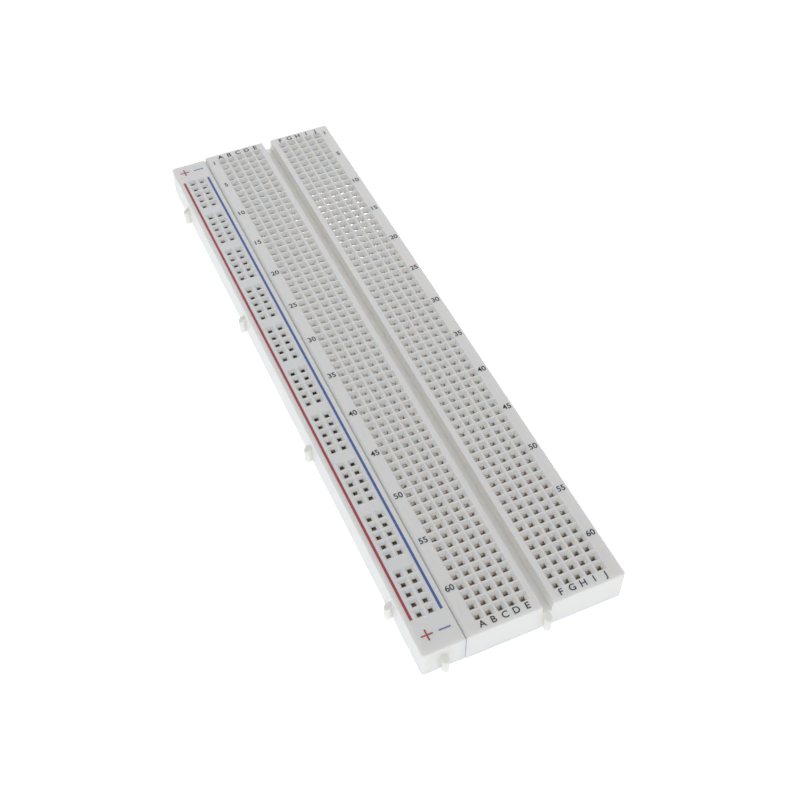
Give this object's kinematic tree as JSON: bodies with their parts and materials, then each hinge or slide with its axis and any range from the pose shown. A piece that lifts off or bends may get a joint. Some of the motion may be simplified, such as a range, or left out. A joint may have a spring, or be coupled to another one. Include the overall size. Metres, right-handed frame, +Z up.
{
  "type": "solderless breadboard",
  "caption": "Full-size solderless breadboard: a terminal strip with a centre channel and a hooked-on power rail, over spring clips and a peel-off foam backing.",
  "frame": {"origin": "on the underside of the release liner, below the middle of the terminal strip and of its centre channel", "axes": "+Y along the board towards row 1, +X from the power rail towards column J, +Z up out of the tie points"},
  "size_m": [0.0475, 0.1667, 0.0085],
  "materials": {
    "housing_plastic": "fine satin moulded ABS",
    "contact_metal": "bright nickel-plated phosphor bronze",
    "foam": "white closed-cell adhesive foam",
    "liner_paper": "siliconised release paper",
    "ink_red": "printed ink",
    "ink_blue": "printed ink",
    "ink_black": "printed ink"
  },
  "bodies": {
    "terminal_strip": {"terminal_block": "housing_plastic", "clips_a_e_rows_01_05": "contact_metal", "clips_a_e_rows_06_10": "contact_metal", "clips_a_e_rows_11_15": "contact_metal", "clips_a_e_rows_16_20": "contact_metal", "clips_a_e_rows_21_25": "contact_metal", "clips_a_e_rows_26_30": "contact_metal", "clips_a_e_rows_31_35": "contact_metal", "clips_a_e_rows_36_40": "contact_metal", "clips_a_e_rows_41_45": "contact_metal", "clips_a_e_rows_46_50": "contact_metal", "clips_a_e_rows_51_55": "contact_metal", "clips_a_e_rows_56_60": "contact_metal", "clips_a_e_rows_61_63": "contact_metal", "clips_f_j_rows_01_05": "contact_metal", "clips_f_j_rows_06_10": "contact_metal", "clips_f_j_rows_11_15": "contact_metal", "clips_f_j_rows_16_20": "contact_metal", "clips_f_j_rows_21_25": "contact_metal", "clips_f_j_rows_26_30": "contact_metal", "clips_f_j_rows_31_35": "contact_metal", "clips_f_j_rows_36_40": "contact_metal", "clips_f_j_rows_41_45": "contact_metal", "clips_f_j_rows_46_50": "contact_metal", "clips_f_j_rows_51_55": "contact_metal", "clips_f_j_rows_56_60": "contact_metal", "clips_f_j_rows_61_63": "contact_metal", "terminal_foam_pad": "foam", "terminal_release_liner": "liner_paper"},
    "power_rail": {"rail_block": "housing_plastic", "positive_bus_clip": "contact_metal", "negative_bus_clip": "contact_metal", "rail_foam_pad": "foam", "rail_release_liner": "liner_paper"}
  },
  "joints": [
    {"name": "rail_lift", "type": "slide", "parent": "terminal_strip", "child": "power_rail", "axis": [0, 0, 1], "range_m": [0, 0.01]}
  ]
}
